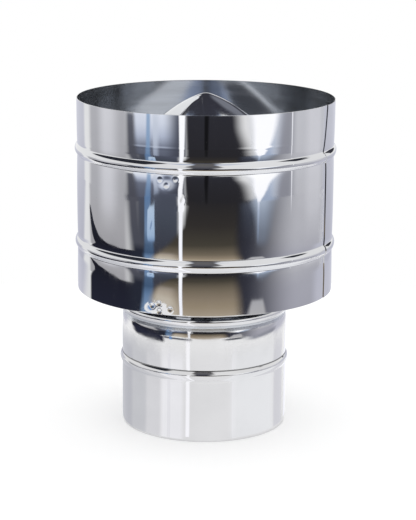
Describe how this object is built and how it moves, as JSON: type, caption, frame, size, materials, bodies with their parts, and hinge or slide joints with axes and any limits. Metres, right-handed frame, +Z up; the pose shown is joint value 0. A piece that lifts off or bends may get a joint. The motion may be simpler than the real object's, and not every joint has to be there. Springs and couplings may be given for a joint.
{
  "type": "chimney cowl",
  "caption": "Stainless chimney cowl: a round flue pipe opens into a wider beaded drum, with a diffuser and a rain cone held inside on straps.",
  "frame": {"origin": "centre of the flue pipe's lower end", "axes": "+Z up the pipe's axis towards the rain cone; -Y faces the picture's viewer, +X to their right"},
  "size_m": [0.2042, 0.2042, 0.264],
  "materials": {
    "drum_steel": "bright rolled, near mirror",
    "pipe_steel": "bright rolled, near mirror",
    "inner_steel": "dull rolled",
    "cone_steel": "bright rolled",
    "strap_steel": "dull rolled"
  },
  "bodies": {
    "root": {"drum_shell": "drum_steel", "flue_pipe": "pipe_steel", "diffuser": "inner_steel", "rain_cone": "cone_steel", "cone_strap_1": "strap_steel", "cone_strap_2": "strap_steel", "cone_strap_3": "strap_steel", "cone_strap_4": "strap_steel", "pipe_strap_1": "strap_steel", "pipe_strap_2": "strap_steel", "pipe_strap_3": "strap_steel", "pipe_strap_4": "strap_steel"}
  },
  "joints": []
}
